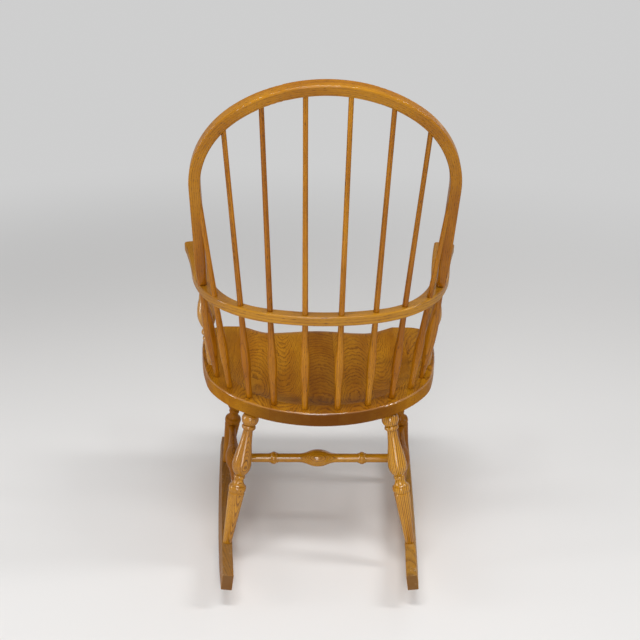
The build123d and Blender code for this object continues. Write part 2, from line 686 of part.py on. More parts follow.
def cross_stretcher_outline(half):
    """Half of the cross stretcher's turning, from its middle at 0 out to its tenon, by sign."""

    def at(*stations):
        return [(half * distance, diameter) for distance, diameter in stations]

    near = CROSS_RING_AT - CROSS_RING_LENGTH / 2
    far = CROSS_RING_AT + CROSS_RING_LENGTH / 2
    shoulder = cross_end.X - SIDE_SWELL / 2
    curved(*at(*spread(0, CROSS_SWELL_REACH, CROSS_SHAFT, CROSS_SWELL, CROSS_FALL)))
    straight(
        *at(
            (CROSS_SWELL_REACH, CROSS_SHAFT),
            (near - CROSS_STEP_LENGTH, CROSS_SHAFT),
            (near - CROSS_STEP_LENGTH, CROSS_STEP),
            (near, CROSS_STEP),
        )
    )
    curved(*at((near, CROSS_STEP), (CROSS_RING_AT, CROSS_RING), (far, CROSS_STEP)))
    straight(
        *at(
            (far, CROSS_STEP),
            (far + CROSS_STEP_LENGTH, CROSS_STEP),
            (far + CROSS_STEP_LENGTH, CROSS_SHAFT),
            (shoulder - CROSS_TAPER_LENGTH, CROSS_SHAFT),
            (shoulder - CROSS_TAPER_GAP, CROSS_TENON),
            (shoulder + CROSS_TENON_DEPTH, CROSS_TENON),
        )
    )


def both_halves():
    cross_stretcher_outline(1)
    cross_stretcher_outline(-1)


tenon_end = cross_end.X - SIDE_SWELL / 2 + CROSS_TENON_DEPTH
middle = Vector(0, cross_end.Y, cross_end.Z)
cross = turned(
    middle,
    middle + Vector(1, 0, 0),
    both_halves,
    (-tenon_end, CROSS_TENON),
    (tenon_end, CROSS_TENON),
)
save(cross, "cross_stretcher")

# Rockers -------------------------------------------------------------------------------------

for side_name, side in SIDES.items():
    with BuildPart() as rocker:
        add(rocker_blanks[side_name].part)
        for line in (rear_leg, front_leg):
            foot, head = (mirrored(end, side) for end in line)
            socket(foot, beyond((head, foot), LEG_TENON_FOOT_DEPTH), LEG_TENON_FOOT)
    save(rocker, f"rocker_{side_name}")
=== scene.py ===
import math

import bpy
import numpy as np
from mathutils import Matrix, Vector

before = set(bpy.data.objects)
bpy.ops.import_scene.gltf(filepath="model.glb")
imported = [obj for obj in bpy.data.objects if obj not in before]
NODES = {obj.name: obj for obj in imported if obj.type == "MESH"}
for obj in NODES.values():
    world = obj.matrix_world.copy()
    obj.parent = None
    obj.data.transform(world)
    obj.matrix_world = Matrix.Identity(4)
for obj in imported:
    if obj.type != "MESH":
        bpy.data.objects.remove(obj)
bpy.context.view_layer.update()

# A hoop back rocking armchair in golden brown lacquered oak. Metres, Z up, the sitter faces -Y.
# Each piece of the chair is a imported node, shown as it is. This script gives each one its wood: the
# figure, the stain and some painted shade, the lacquer and the wear. Then it sets up the studio.

Y, Z = 1, 2

# Stained pale wood, in its golden and its orange tone, the dark of early wood, of deep stain and of
# painted shade, the brown of end grain, the brown that lies in pores and is painted as shade into
# crevices and joints, floor dust and bare wood
OAK_GOLDEN = (0.57, 0.262, 0.012, 1)
OAK_ORANGE = (0.43, 0.148, 0.003, 1)
OAK_DARK = (0.120, 0.030, 0.002, 1)
END_BROWN = (0.130, 0.052, 0.010, 1)
PORE_AND_SHADE_BROWN = (0.045, 0.013, 0.003, 1)
DUST_GREY = (0.260, 0.190, 0.100, 1)
BARE_WOOD = (0.620, 0.440, 0.260, 1)

# How often the parts of the figure come in a metre: across the grain twice, and along it
WANDER_RATE = (11.0, 11.0, 3.6)
TREMBLE_RATE = (75.0, 75.0, 42.0)
PORE_RATE = (1500.0, 1500.0, 95.0)
FIBRE_RATE = (520.0, 520.0, 12.0)
PATCH_RATE = (22.0, 22.0, 6.0)

# A year's ring, in shares of its width: the early wood is dark from the first share to the second
# and has faded into late wood at the third
RING_DARK_FROM, RING_DARK_TO, RING_PALE_FROM = 0.09, 0.16, 0.62
WEAKEST_RING = 0.45
PORE_CUT = (0.55, 0.66)
PORES_IN_LATE_WOOD = 0.18

# How far the rings wander, slowly and in quick ripples, and how far apart they are. A noise strays
# about a quarter from its middle, so the slow one is made four times larger
NOISE_GAIN = 4.0
STRAIGHT_WAVINESS, BENT_WAVINESS, SEAT_WAVINESS = 0.0012, 0.0008, 0.0026
RIPPLE, SEAT_RIPPLE = 0.001, 0.0045
BENT_RING_GAP, SEAT_RING_GAP = 0.0028, 0.0024

# The stain, and the painted shade in crevices. A ramp is written as (from, to, start, end), or as
# (from, to) where it runs from 0 to 1
TONE_BY_PATCH = (0.25, 0.75, -0.25, 0.25)
DARK_BY_FIBRE = (0.35, 0.8, 0.0, 0.3)
DARK_BY_PATCH = (0.6, 0.3, 0.0, 0.24)
# The third of these is painted shade: how far crevices, found by occlusion, are darkened towards the
# pore brown
END_STAIN, PORE_STAIN, CREVICE_SHADE = 0.85, 0.8, 0.8
CREVICE_REACH, CREVICE_SAMPLES = 0.007, 6
CREVICE_BY_LIGHT = (0.72, 0.25)
END_BY_FACING = (0.66, 0.99)
HAND_END_DEPTH, HAND_END_BY_FACING = 0.02, (0.35, 0.9)

# The surface: how rough it is, by fibre and in crevices, its relief, its own sheen and its lacquer
ROUGHNESS, ROUGHER_BY_FIBRE, ROUGHER_BY_CREVICE = 0.26, 0.16, 0.2
FIBRE_RELIEF, RING_RELIEF = 0.3, 0.3
RELIEF_STRENGTH, RELIEF_HEIGHT = 0.3, 0.0004
BASE_SHEEN = 0.01
LACQUER_IOR, LACQUER_ROUGHNESS = 1.8, 0.12

# Dust and scuffs: their noise and what of it counts, and how much each dulls the finish
DUST_RATE, DUST_BY_NOISE, DUST_BY_FACING = 24.0, (0.3, 0.7, 0.45, 1.0), (-0.2, 0.8, 0.35, 1.0)
NICK_RATE, NICK_BY_NOISE = 60.0, (0.57, 0.70)
ROUGHER_BY_DUST, ROUGHER_BY_SCUFFS = 0.5, 0.4

# The seat's boards from right to left: the right edge of each, its pith's place across the seat and
# below it, how the pith rises towards the back, and how much darker than the rest it took the stain
SEAT_BOARD_ROWS = [
    (-0.300, -0.240, -0.060, 0.09, 0.14),
    (-0.205, -0.140, -0.090, -0.12, 0.10),
    (-0.118, -0.078, -0.060, 0.13, 0.16),
    (-0.035, -0.004, -0.120, 0.15, 0.42),
    (0.023, 0.082, -0.085, -0.13, 0.04),
    (0.108, 0.150, -0.065, 0.12, 0.00),
    (0.196, 0.260, -0.060, -0.09, 0.08),
]

# How far a board is shifted along its length for each metre that it lies aside, the joint's line
# and its stain, and how the lacquer depends on how far the seat's surface faces up
BOARD_SHIFT = 0.7
JOINT_LINE, JOINT_STAIN = (0.0009, 0.0002), 0.3
LACQUER_OFF_TOP = (0.93, 0.8, 0.04, 1.0)
LACQUER_OFF_EDGE = (0.15, 0.5, 0.03, 1.0)


# Small helpers for shader node trees


class Tree:
    """A node tree with short calls for the nodes that the wood needs."""

    def __init__(self, tree):
        self.nodes = tree.nodes
        self.links = tree.links

    def add(self, kind, **settings):
        node = self.nodes.new(kind)
        for name, value in settings.items():
            setattr(node, name, value)
        return node

    def feed(self, value, socket):
        if isinstance(value, bpy.types.NodeSocket):
            self.links.new(value, socket)
        else:
            socket.default_value = value

    def math(self, operation, *values, clamp=False):
        node = self.add("ShaderNodeMath", operation=operation, use_clamp=clamp)
        for value, socket in zip(values, node.inputs):
            self.feed(value, socket)
        return node.outputs[0]

    def vector_math(self, operation, *values):
        node = self.add("ShaderNodeVectorMath", operation=operation)
        for value, socket in zip(values, node.inputs):
            self.feed(value, socket)
        gives_number = operation in ("LENGTH", "DOT_PRODUCT")
        return node.outputs["Value"] if gives_number else node.outputs[0]

    def split(self, vector):
        node = self.add("ShaderNodeSeparateXYZ")
        self.feed(vector, node.inputs[0])
        return node.outputs

    def join(self, x, y, z):
        node = self.add("ShaderNodeCombineXYZ")
        for value, socket in zip((x, y, z), node.inputs):
            self.feed(value, socket)
        return node.outputs[0]

    def noise(self, vector, scale, detail=2.0, roughness=0.5):
        node = self.add("ShaderNodeTexNoise")
        self.feed(vector, node.inputs["Vector"])
        self.feed(scale, node.inputs["Scale"])
        self.feed(detail, node.inputs["Detail"])
        self.feed(roughness, node.inputs["Roughness"])
        return node.outputs["Fac"]

    def ramp(self, value, low, high, start=0.0, end=1.0):
        """From start where value is low to end where it is high; low may be the larger one."""
        node = self.add("ShaderNodeMapRange", interpolation_type="SMOOTHSTEP")
        for item, socket in zip((value, low, high, start, end), node.inputs):
            self.feed(item, socket)
        return node.outputs[0]

    def mix(self, share, first, second):
        node = self.add("ShaderNodeMix", data_type="RGBA")
        self.feed(share, node.inputs["Factor"])
        self.feed(first, node.inputs["A"])
        self.feed(second, node.inputs["B"])
        return node.outputs["Result"]

    def object_place(self):
        """The shaded place in the chair's frame, as every node's object sits at the origin."""
        return self.add("ShaderNodeTexCoord").outputs["Object"]

    def facing(self, direction):
        """How far the surface faces a direction, from -1 to 1."""
        normal = self.add("ShaderNodeNewGeometry").outputs["Normal"]
        return self.vector_math("DOT_PRODUCT", normal, direction)

    def place_group(self, made, **values):
        node = self.add("ShaderNodeGroup", node_tree=made)
        for name, value in values.items():
            self.feed(value, node.inputs[name.replace("_", " ")])
        return node.outputs


VECTOR, NUMBER, COLOUR = "NodeSocketVector", "NodeSocketFloat", "NodeSocketColor"


def group(name, inputs, outputs):
    """A new shader node group; returns it with its tree, its inputs and its outputs inside."""
    made = bpy.data.node_groups.new(name, "ShaderNodeTree")
    for label, kind in inputs.items():
        made.interface.new_socket(name=label, in_out="INPUT", socket_type=kind)
    for label, kind in outputs.items():
        made.interface.new_socket(name=label, in_out="OUTPUT", socket_type=kind)
    tree = Tree(made)
    entry = tree.add("NodeGroupInput").outputs
    leave = tree.add("NodeGroupOutput").inputs
    return made, tree, entry, leave


def make_oak_figure():
    """Growth rings round a pith, open pores and fibres, in a space whose Z runs along the grain."""
    inputs = {
        "Grain Space": VECTOR,
        "Pith": VECTOR,
        "Ring Gap": NUMBER,
        "Waviness": NUMBER,
        "Ripple": NUMBER,
    }
    outputs = {"Ring": NUMBER, "Pore": NUMBER, "Fibre": NUMBER, "Patch": NUMBER}
    made, tree, entry, leave = group("oak_figure", inputs, outputs)
    place = tree.vector_math("SUBTRACT", entry["Grain Space"], entry["Pith"])

    def streaks(rate, detail, roughness=0.5):
        return tree.noise(tree.vector_math("MULTIPLY", place, rate), 1.0, detail, roughness)

    wander = tree.math("SUBTRACT", streaks(WANDER_RATE, detail=2.0), 0.5)
    tremble = tree.math("SUBTRACT", streaks(TREMBLE_RATE, detail=2.0, roughness=0.6), 0.5)
    x, y, z = tree.split(place)
    reach = tree.vector_math("LENGTH", tree.join(x, y, 0.0))
    shift = tree.math("MULTIPLY", wander, tree.math("MULTIPLY", entry["Waviness"], NOISE_GAIN))
    shift = tree.math("ADD", shift, tree.math("MULTIPLY", tremble, entry["Ripple"]))
    years = tree.math("DIVIDE", tree.math("ADD", reach, shift), entry["Ring Gap"])
    share = tree.math("FRACT", years)
    darkens = tree.ramp(share, 0.0, RING_DARK_FROM)
    band = tree.math("MULTIPLY", darkens, tree.ramp(share, RING_PALE_FROM, RING_DARK_TO))
    yearly = tree.add("ShaderNodeTexWhiteNoise", noise_dimensions="1D")
    tree.feed(tree.math("FLOOR", years), yearly.inputs["W"])
    strength = tree.ramp(yearly.outputs["Value"], 0.0, 1.0, WEAKEST_RING, 1.0)
    tree.feed(tree.math("MULTIPLY", band, strength), leave["Ring"])
    dash = tree.ramp(streaks(PORE_RATE, detail=1.0), *PORE_CUT)
    crowd = tree.math("ADD", PORES_IN_LATE_WOOD, band)
    tree.feed(tree.math("MULTIPLY", dash, crowd), leave["Pore"])
    tree.feed(streaks(FIBRE_RATE, detail=3.0, roughness=0.6), leave["Fibre"])
    tree.feed(streaks(PATCH_RATE, detail=2.0), leave["Patch"])
    return made


def make_oak_stain_and_shade():
    """The stained colour with painted shade in crevices, the gloss and the relief that go with an oak
    figure.
    """
    names = "Ring", "Pore", "Fibre", "Patch", "Golden", "Grain", "Depth", "End", "Crevice"
    inputs = {name: NUMBER for name in names}
    outputs = {"Color": COLOUR, "Roughness": NUMBER, "Height": NUMBER}
    made, tree, entry, leave = group("oak_stain_and_shade", inputs, outputs)
    uneven = tree.ramp(entry["Patch"], *TONE_BY_PATCH)
    tone = tree.math("ADD", entry["Golden"], uneven, clamp=True)
    wood = tree.mix(tone, OAK_ORANGE, OAK_GOLDEN)
    darker = [
        (tree.math("MULTIPLY", entry["End"], END_STAIN), END_BROWN),
        (tree.math("MULTIPLY", entry["Ring"], entry["Grain"]), OAK_DARK),
        (tree.ramp(entry["Fibre"], *DARK_BY_FIBRE), OAK_DARK),
        (tree.ramp(entry["Patch"], *DARK_BY_PATCH), OAK_DARK),
        (tree.math("MULTIPLY", entry["Pore"], PORE_STAIN), PORE_AND_SHADE_BROWN),
        (entry["Depth"], OAK_DARK),
        # Painted shade: crevices, found by occlusion, darkened towards the pore brown
        (tree.math("MULTIPLY", entry["Crevice"], CREVICE_SHADE), PORE_AND_SHADE_BROWN),
    ]
    for amount, stain_and_shade in darker:
        wood = tree.mix(amount, wood, stain_and_shade)
    tree.feed(wood, leave["Color"])
    by_fibre = tree.math("MULTIPLY", entry["Fibre"], ROUGHER_BY_FIBRE)
    by_crevice = tree.math("MULTIPLY", entry["Crevice"], ROUGHER_BY_CREVICE)
    rough = tree.math("ADD", tree.math("ADD", ROUGHNESS, by_fibre), by_crevice)
    tree.feed(rough, leave["Roughness"])
    height = tree.math("MULTIPLY", entry["Fibre"], FIBRE_RELIEF)
    height = tree.math("SUBTRACT", height, entry["Pore"])
    height = tree.math("SUBTRACT", height, tree.math("MULTIPLY", entry["Ring"], RING_RELIEF))
    tree.feed(height, leave["Height"])
    return made


def make_age():
    """What use leaves on the finish: dust that lies on what faces up, and scuffs to bare wood."""
    inputs = {
        "Color": COLOUR,
        "Roughness": NUMBER,
        "Place": VECTOR,
        "Facing Up": NUMBER,
        "Dust": NUMBER,
        "Scuffs": NUMBER,
    }
    outputs = {"Color": COLOUR, "Roughness": NUMBER}
    made, tree, entry, leave = group("age", inputs, outputs)
    clouds = tree.noise(entry["Place"], DUST_RATE, detail=4.0, roughness=0.6)
    lying = tree.ramp(entry["Facing Up"], *DUST_BY_FACING)
    lying = tree.math("MULTIPLY", tree.ramp(clouds, *DUST_BY_NOISE), lying)
    dust = tree.math("MULTIPLY", lying, entry["Dust"])
    nicks = tree.noise(entry["Place"], NICK_RATE, detail=4.0, roughness=0.7)
    scuffs = tree.math("MULTIPLY", tree.ramp(nicks, *NICK_BY_NOISE), entry["Scuffs"])
    worn = tree.mix(scuffs, entry["Color"], BARE_WOOD)
    tree.feed(tree.mix(dust, worn, DUST_GREY), leave["Color"])
    by_dust = tree.math("MULTIPLY", dust, ROUGHER_BY_DUST)
    rougher = tree.math("ADD", by_dust, tree.math("MULTIPLY", scuffs, ROUGHER_BY_SCUFFS))
    tree.feed(tree.math("ADD", entry["Roughness"], rougher, clamp=True), leave["Roughness"])
    return made


def make_bow_space():
    """Turns a place near a bent bar into (off the bar's line, out of its plane, along the line).

    The bar is bent in its own XY plane: a crown arc, a tighter shoulder arc and a straight leg
    each side. Each side is worked out as the same half.
    """
    numbers = "Crown Centre", "Crown Radius", "Crown Turn", "Shoulder Radius", "Leg Turn"
    inputs = {"Place": VECTOR, **{name: NUMBER for name in numbers}}
    made, tree, entry, leave = group("bow_space", inputs, {"Grain Space": VECTOR})
    x, y, z = tree.split(entry["Place"])
    crown_radius, shoulder_radius = entry["Crown Radius"], entry["Shoulder Radius"]
    crown_turn, leg_turn = entry["Crown Turn"], entry["Leg Turn"]

    aside = tree.math("ABSOLUTE", x)
    up = tree.math("SUBTRACT", y, entry["Crown Centre"])
    crown_angle = tree.math("ARCTAN2", aside, up)
    crown_reach = tree.vector_math("LENGTH", tree.join(aside, up, 0.0))
    crown_off = tree.math("SUBTRACT", crown_reach, crown_radius)
    crown_along = tree.math("MULTIPLY", crown_radius, crown_angle)
    crown_end = tree.math("MULTIPLY", crown_radius, crown_turn)

    # The shoulder's centre lies on the crown's last radius, so both arcs share their tangent
    step = tree.math("SUBTRACT", crown_radius, shoulder_radius)
    aside = tree.math("SUBTRACT", aside, tree.math("MULTIPLY", step, tree.math("SINE", crown_turn)))
    up = tree.math("SUBTRACT", up, tree.math("MULTIPLY", step, tree.math("COSINE", crown_turn)))
    shoulder_angle = tree.math("ARCTAN2", aside, up)
    shoulder_reach = tree.vector_math("LENGTH", tree.join(aside, up, 0.0))
    shoulder_off = tree.math("SUBTRACT", shoulder_reach, shoulder_radius)
    bent = tree.math("SUBTRACT", shoulder_angle, crown_turn)
    shoulder_along = tree.math("ADD", crown_end, tree.math("MULTIPLY", shoulder_radius, bent))

    sine, cosine = tree.math("SINE", leg_turn), tree.math("COSINE", leg_turn)
    outwards = tree.math("MULTIPLY", aside, sine)
    outwards = tree.math("ADD", outwards, tree.math("MULTIPLY", up, cosine))
    leg_off = tree.math("SUBTRACT", outwards, shoulder_radius)
    down = tree.math("MULTIPLY", aside, cosine)
    down = tree.math("SUBTRACT", down, tree.math("MULTIPLY", up, sine))
    bend = tree.math("MULTIPLY", shoulder_radius, tree.math("SUBTRACT", leg_turn, crown_turn))
    leg_along = tree.math("ADD", tree.math("ADD", crown_end, bend), down)

    on_leg = tree.math("GREATER_THAN", shoulder_angle, leg_turn)
    off_leg = tree.math("SUBTRACT", 1.0, on_leg)
    on_crown = tree.math("LESS_THAN", crown_angle, crown_turn)
    off_crown = tree.math("SUBTRACT", 1.0, on_crown)

    def choose(on_the_crown, on_the_shoulder, on_the_leg):
        side = tree.math("MULTIPLY", on_the_shoulder, off_leg)
        side = tree.math("ADD", side, tree.math("MULTIPLY", on_the_leg, on_leg))
        side = tree.math("MULTIPLY", side, off_crown)
        return tree.math("ADD", side, tree.math("MULTIPLY", on_the_crown, on_crown))

    off = choose(crown_off, shoulder_off, leg_off)
    along = choose(crown_along, shoulder_along, leg_along)
    along = tree.math("MULTIPLY", along, tree.math("SIGN", x))
    tree.feed(tree.join(off, z, along), leave["Grain Space"])
    return made


def stepped(tree, x, edges, values):
    """The first value up to the first edge, then the next one up to the next edge, and so on."""
    total = values[0]
    for edge, before, after in zip(edges, values, values[1:]):
        step = tree.math("MULTIPLY", tree.math("GREATER_THAN", x, edge), after - before)
        total = tree.math("ADD", total, step)
    return total


def make_seat_boards():
    """Splits the seat into glued boards: each has its own pith and tone, with a line between."""
    outputs = {"Grain Space": VECTOR, "Depth": NUMBER, "Joint": NUMBER}
    made, tree, entry, leave = group("seat_boards", {"Place": VECTOR}, outputs)
    x, y, z = tree.split(entry["Place"])
    starts, asides, depths, rises, stains = zip(*SEAT_BOARD_ROWS)
    edges = starts[1:]
    nearest, *others = [tree.math("ABSOLUTE", tree.math("SUBTRACT", x, edge)) for edge in edges]
    for off in others:
        nearest = tree.math("MINIMUM", nearest, off)
    tree.feed(tree.ramp(nearest, *JOINT_LINE), leave["Joint"])
    tree.feed(stepped(tree, x, edges, stains), leave["Depth"])
    across = tree.math("SUBTRACT", x, stepped(tree, x, edges, asides))
    rise = tree.math("MULTIPLY", y, stepped(tree, x, edges, rises))
    up = tree.math("SUBTRACT", z, stepped(tree, x, edges, depths))
    up = tree.math("SUBTRACT", up, rise)
    shifts = [BOARD_SHIFT * start for start in starts]
    length = tree.math("ADD", y, stepped(tree, x, edges, shifts))
    tree.feed(tree.join(across, up, length), leave["Grain Space"])
    return made


OAK_FIGURE = make_oak_figure()
OAK_STAIN_AND_SHADE = make_oak_stain_and_shade()
AGE = make_age()
BOW_SPACE = make_bow_space()
SEAT_BOARDS = make_seat_boards()


# Oak, straight, bent or glued up of boards. A look says how golden the wood is, how strong its
# rings are, how deep the stain (and, on some pieces, painted shade), how thick the lacquer and, on a
# rocker, how dusty and scuffed it is


def crevice_mask(tree):
    """Grooves and joints, found by how shut in the surface is: painted shade darkens them and they
    are rougher.
    """
    shade = tree.add("ShaderNodeAmbientOcclusion", samples=CREVICE_SAMPLES)
    shade.inputs["Distance"].default_value = CREVICE_REACH
    return tree.ramp(shade.outputs["AO"], *CREVICE_BY_LIGHT)


def end_mask(tree, along):
    """Where the saw or the lathe has cut across the grain, which drinks more stain."""
    return tree.ramp(tree.math("ABSOLUTE", tree.facing(along)), *END_BY_FACING)


def front_end_mask(tree, front):
    """The hands' cut ends, which face forwards within HAND_END_DEPTH of the piece's front."""
    near = tree.math("LESS_THAN", tree.split(tree.object_place())[Y], front + HAND_END_DEPTH)
    facing = tree.ramp(tree.facing((0, -1, 0)), *HAND_END_BY_FACING)
    return tree.math("MULTIPLY", near, facing)


def settled(tree, value):
    """A look's value as it is, or a ramp along Y or Z where it is (axis, from, to, start, end)."""
    if not isinstance(value, tuple):
        return value
    axis, low, high, start, end = value
    return tree.ramp(tree.split(tree.object_place())[axis], low, high, start, end)


def finish_oak(tree, figure, end, look):
    """Stains, paints shade into crevices, ages and lacquers an oak figure, with end as the mask of
    its end grain.
    """
    look = {name: settled(tree, value) for name, value in look.items()}
    values = {name: figure[name] for name in ("Ring", "Pore", "Fibre", "Patch")}
    tone = {name: look[name] for name in ("Golden", "Grain", "Depth")}
    stain_and_shade = tree.place_group(OAK_STAIN_AND_SHADE, End=end, Crevice=crevice_mask(tree), **tone, **values)
    aged = tree.place_group(
        AGE,
        Color=stain_and_shade["Color"],
        Roughness=stain_and_shade["Roughness"],
        Place=tree.object_place(),
        Facing_Up=tree.facing((0, 0, 1)),
        Dust=look.get("Dust", 0.0),
        Scuffs=look.get("Scuffs", 0.0),
    )
    surface = tree.add("ShaderNodeBsdfPrincipled")
    tree.feed(aged["Color"], surface.inputs["Base Color"])
    tree.feed(aged["Roughness"], surface.inputs["Roughness"])
    tree.feed(look["Lacquer"], surface.inputs["Coat Weight"])
    surface.inputs["Specular IOR Level"].default_value = BASE_SHEEN
    surface.inputs["Coat IOR"].default_value = LACQUER_IOR
    surface.inputs["Coat Roughness"].default_value = LACQUER_ROUGHNESS
    bump = tree.add("ShaderNodeBump")
    bump.inputs["Strength"].default_value = RELIEF_STRENGTH
    bump.inputs["Distance"].default_value = RELIEF_HEIGHT
    tree.feed(stain_and_shade["Height"], bump.inputs["Height"])
    tree.feed(bump.outputs["Normal"], surface.inputs["Normal"])
    leave = tree.add("ShaderNodeOutputMaterial")
    tree.feed(surface.outputs["BSDF"], leave.inputs["Surface"])


def new_material(name):
    material = bpy.data.materials.new(name)
    material.use_nodes = True
    material.node_tree.nodes.clear()
    return material, Tree(material.node_tree)


def into_space(tree, space):
    """The shaded place, seen from a space given as its matrix in the chair's frame."""
    inverse = space.inverted()
    mapping = tree.add("ShaderNodeMapping")
    mapping.inputs["Location"].default_value = inverse.to_translation()
    mapping.inputs["Rotation"].default_value = inverse.to_euler()
    tree.feed(tree.object_place(), mapping.inputs["Vector"])
    return mapping.outputs[0]


def straight_oak(name, axis, pith, gap, look):
    """Oak whose grain runs along the Z of axis, a matrix from the grain's space to the chair's."""
    material, tree = new_material(name)
    figure = tree.place_group(
        OAK_FIGURE,
        Grain_Space=into_space(tree, axis),
        Pith=pith,
        Ring_Gap=gap,
        Waviness=STRAIGHT_WAVINESS,
        Ripple=RIPPLE,
    )
    finish_oak(tree, figure, end_mask(tree, axis.to_3x3().col[Z]), look)
    return material


def bent_oak(name, plane, bow, pith, look, front=None):
    """Oak bent along a bow in plane, a matrix; front is the Y where its ends are cut off."""
    material, tree = new_material(name)
    bent = tree.place_group(BOW_SPACE, Place=into_space(tree, plane), **bow)
    figure = tree.place_group(
        OAK_FIGURE,
        Grain_Space=bent["Grain Space"],
        Pith=pith,
        Ring_Gap=BENT_RING_GAP,
        Waviness=BENT_WAVINESS,
        Ripple=RIPPLE,
    )
    end = 0.0 if front is None else front_end_mask(tree, front)
    finish_oak(tree, figure, end, look)
    return material


def boarded_oak(name, plane, look):
    """Oak boards glued side by side, their grain along the Y of plane.

    The lacquer is rubbed off on top by use and thin on the edge; only the easing between shines.
    """
    material, tree = new_material(name)
    boards = tree.place_group(SEAT_BOARDS, Place=into_space(tree, plane))
    figure = tree.place_group(
        OAK_FIGURE,
        Grain_Space=boards["Grain Space"],
        Ring_Gap=SEAT_RING_GAP,
        Waviness=SEAT_WAVINESS,
        Ripple=SEAT_RIPPLE,
    )
    depth = tree.math("ADD", boards["Depth"], look["Depth"])
    depth = tree.math("ADD", depth, tree.math("MULTIPLY", boards["Joint"], JOINT_STAIN))
    upwards = tree.facing((0, 0, 1))
    off_top = tree.ramp(upwards, *LACQUER_OFF_TOP)
    lacquer = tree.math("MULTIPLY", off_top, tree.ramp(upwards, *LACQUER_OFF_EDGE))
    end = end_mask(tree, plane.to_3x3().col[Y])
    finish_oak(tree, figure, end, {**look, "Depth": depth, "Lacquer": lacquer})
    return material


def node_axis(name):
    """A frame with its Z along the longest way through a node, its origin at the node's middle."""
    mesh = NODES[name].data
    points = np.empty(len(mesh.vertices) * 3)
    mesh.vertices.foreach_get("co", points)
    points = points.reshape(-1, 3)
    middle = (points.min(0) + points.max(0)) / 2
    _, _, axes = np.linalg.svd(points - points.mean(0), full_matrices=False)
    along = Vector(axes[0])
    if along.z < 0:
        along.negate()
    turn = along.to_track_quat("Z", "Y").to_matrix().to_4x4()
    return Matrix.Translation(Vector(middle)) @ turn


def dress(name, material):
    mesh = NODES[name].data
    mesh.materials.clear()
    mesh.materials.append(material)


# How much further along the log each next piece is cut
LOG_STEP = 0.37


def dress_straight(name, direction, distance, gap, look):
    """Oak along a node's longest way, its pith off the node's middle line in a direction."""
    axis = node_axis(name)
    side = axis.to_3x3().inverted() @ Vector(direction)
    side.z = 0
    side = side.normalized() * distance
    pith = (side.x, side.y, LOG_STEP * len(bpy.data.materials))
    dress(name, straight_oak("oak_" + name, axis, pith, gap, look))


# The long spindles: how golden and how deeply stained each one is, from the first to the eighth
SPINDLE_TONES = [
    (0.25, 0.16),
    (0.05, 0.26),
    (0.3, 0.06),
    (0.4, 0.0),
    (0.3, 0.06),
    (0.1, 0.18),
    (0.15, 0.14),
    (0.2, 0.08),
]
# Their pith: its turn in degrees from one spindle to the next, and its three places off the spindle
SPINDLE_TURN = 137.5
SPINDLE_PITHS = (0.022, 0.026, 0.030)
SPINDLE_RING_GAP = 0.0031
for number, (golden, depth) in enumerate(SPINDLE_TONES, start=1):
    spin = math.radians(SPINDLE_TURN * number)
    direction = (math.cos(spin), math.sin(spin), 0)
    distance = SPINDLE_PITHS[number % 3]
    look = {"Golden": golden, "Grain": 0.32, "Depth": depth, "Lacquer": 0.25}
    dress_straight(f"long_spindle_{number}", direction, distance, SPINDLE_RING_GAP, look)

SHORT_SPINDLE_LOOK = {"Golden": 0.2, "Grain": 0.35, "Depth": 0.25, "Lacquer": 0.3}
POST_LOOK = {"Golden": 0.9, "Grain": 0.5, "Depth": 0.12, "Lacquer": 0.7}
REAR_LEG_LOOK = {"Golden": 0.85, "Grain": 0.85, "Depth": 0.0, "Lacquer": 0.5}
# The front legs and the side stretchers stand under the seat: their darker, redder colour is partly
# deeper stain and partly painted shade
FRONT_LEG_SHADED_LOOK = {"Golden": 0.3, "Grain": 0.45, "Depth": 0.3, "Lacquer": 0.12}
SIDE_STRETCHER_SHADED_LOOK = {"Golden": 0.2, "Grain": 0.45, "Depth": 0.25, "Lacquer": 0.12}
CROSS_LOOK = {"Golden": 1.0, "Grain": 0.6, "Depth": 0.0, "Lacquer": 0.5}
ROCKER_LOOK = {"Grain": 0.5, "Lacquer": 0.1, "Dust": 0.38, "Scuffs": (Y, 0.25, 0.3, 0.25, 1.0)}
ROCKER_LEFT_LOOK = {**ROCKER_LOOK, "Golden": 0.4, "Depth": (Y, 0.2, 0.29, 0.5, 0.35)}
ROCKER_RIGHT_LOOK = {**ROCKER_LOOK, "Golden": 0.9, "Depth": (Y, 0.22, 0.3, 0.1, 0.3)}

# The other straight pieces: the way their pith lies, how far off, the gap between rings, the look
STRAIGHT_PIECES = [
    ("short_spindle_right", (0.3, 1, 0), 0.03, 0.0034, SHORT_SPINDLE_LOOK),
    ("short_spindle_left", (-0.8, 1, 0), 0.03, 0.0034, {**SHORT_SPINDLE_LOOK, "Depth": 0.22}),
    ("arm_post_right", (0.5, 1, 0), 0.06, 0.0026, POST_LOOK),
    ("arm_post_left", (-0.5, 1, 0), 0.06, 0.0026, POST_LOOK),
    ("rear_leg_left", (-0.37, 0.93, 0), 0.09, 0.0016, REAR_LEG_LOOK),
    ("rear_leg_right", (1, 0.15, 0), 0.055, 0.0040, REAR_LEG_LOOK),
    ("front_leg_left", (-1, 0.3, 0), 0.06, 0.0024, FRONT_LEG_SHADED_LOOK),
    ("front_leg_right", (0.2, 1, 0), 0.06, 0.0024, FRONT_LEG_SHADED_LOOK),
    ("side_stretcher_left", (0, 0, 1), 0.05, 0.0024, SIDE_STRETCHER_SHADED_LOOK),
    ("side_stretcher_right", (0, 0, -1), 0.05, 0.0024, SIDE_STRETCHER_SHADED_LOOK),
    ("cross_stretcher", (0, 1, 0.6), 0.06, 0.0022, CROSS_LOOK),
    ("rocker_left", (0.2, 0, 1), 0.08, 0.0028, ROCKER_LEFT_LOOK),
    ("rocker_right", (0.2, 0, 1), 0.08, 0.0028, ROCKER_RIGHT_LOOK),
]
for row in STRAIGHT_PIECES:
    dress_straight(*row)


